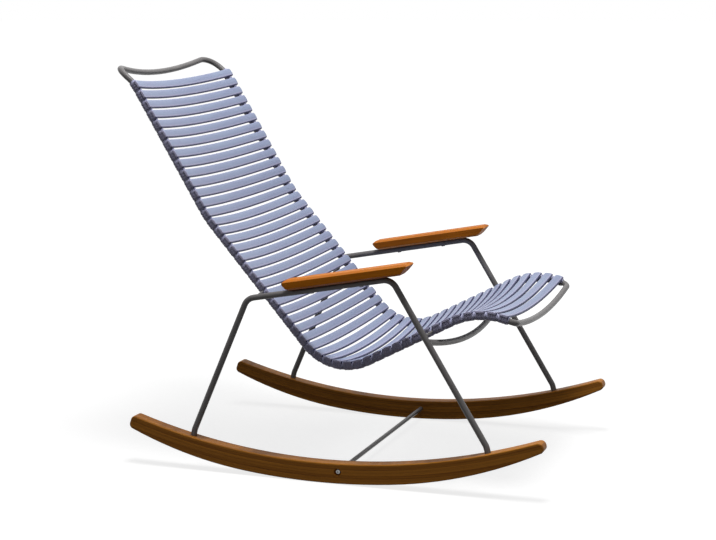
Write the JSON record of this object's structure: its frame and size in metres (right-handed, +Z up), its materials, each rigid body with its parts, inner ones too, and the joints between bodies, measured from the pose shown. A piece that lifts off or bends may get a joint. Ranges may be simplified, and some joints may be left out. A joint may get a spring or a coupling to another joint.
{
  "type": "rocking chaise lounge",
  "caption": "Rocking lounge chair with bowed horizontal slats clipped to a bent tube seat frame, tube arm frames, wooden armrests and curved wooden rockers.",
  "frame": {"origin": "bottom centre of the chair's bounding box, on the floor plane that the rockers touch", "axes": "+X points forward, where the sitter faces; +Y points to the sitter's left; +Z points up"},
  "size_m": [1.0622, 0.698, 0.9232],
  "materials": {
    "frame_paint": "satin powder coat, dark grey",
    "slat_plastic": "matte, greyish blue",
    "rocker_wood": "oiled laminated strips, brown",
    "armrest_wood": "oiled, warm brown",
    "bare_steel": "bright"
  },
  "bodies": {
    "root": {"seat_frame": "frame_paint", "left_arm_frame": "frame_paint", "right_arm_frame": "frame_paint", "front_brace": "frame_paint", "seat_mounting_pins": "frame_paint", "rocker_spreader": "frame_paint", "left_rocker": "rocker_wood", "right_rocker": "rocker_wood", "left_armrest": "armrest_wood", "right_armrest": "armrest_wood", "spreader_bolts": "bare_steel", "armrest_screws": "bare_steel", "slat_01": "slat_plastic", "slat_02": "slat_plastic", "slat_03": "slat_plastic", "slat_04": "slat_plastic", "slat_05": "slat_plastic", "slat_06": "slat_plastic", "slat_07": "slat_plastic", "slat_08": "slat_plastic", "slat_09": "slat_plastic", "slat_10": "slat_plastic", "slat_11": "slat_plastic", "slat_12": "slat_plastic", "slat_13": "slat_plastic", "slat_14": "slat_plastic", "slat_15": "slat_plastic", "slat_16": "slat_plastic", "slat_17": "slat_plastic", "slat_18": "slat_plastic", "slat_19": "slat_plastic", "slat_20": "slat_plastic", "slat_21": "slat_plastic", "slat_22": "slat_plastic", "slat_23": "slat_plastic", "slat_24": "slat_plastic", "slat_25": "slat_plastic", "slat_26": "slat_plastic", "slat_27": "slat_plastic", "slat_28": "slat_plastic", "slat_29": "slat_plastic", "slat_30": "slat_plastic", "slat_31": "slat_plastic", "slat_32": "slat_plastic", "slat_33": "slat_plastic", "slat_34": "slat_plastic", "slat_35": "slat_plastic", "slat_36": "slat_plastic", "slat_37": "slat_plastic", "slat_38": "slat_plastic", "slat_39": "slat_plastic", "slat_40": "slat_plastic", "slat_41": "slat_plastic", "slat_42": "slat_plastic", "slat_43": "slat_plastic", "slat_44": "slat_plastic", "slat_45": "slat_plastic", "slat_46": "slat_plastic", "slat_47": "slat_plastic", "slat_48": "slat_plastic"}
  },
  "joints": []
}
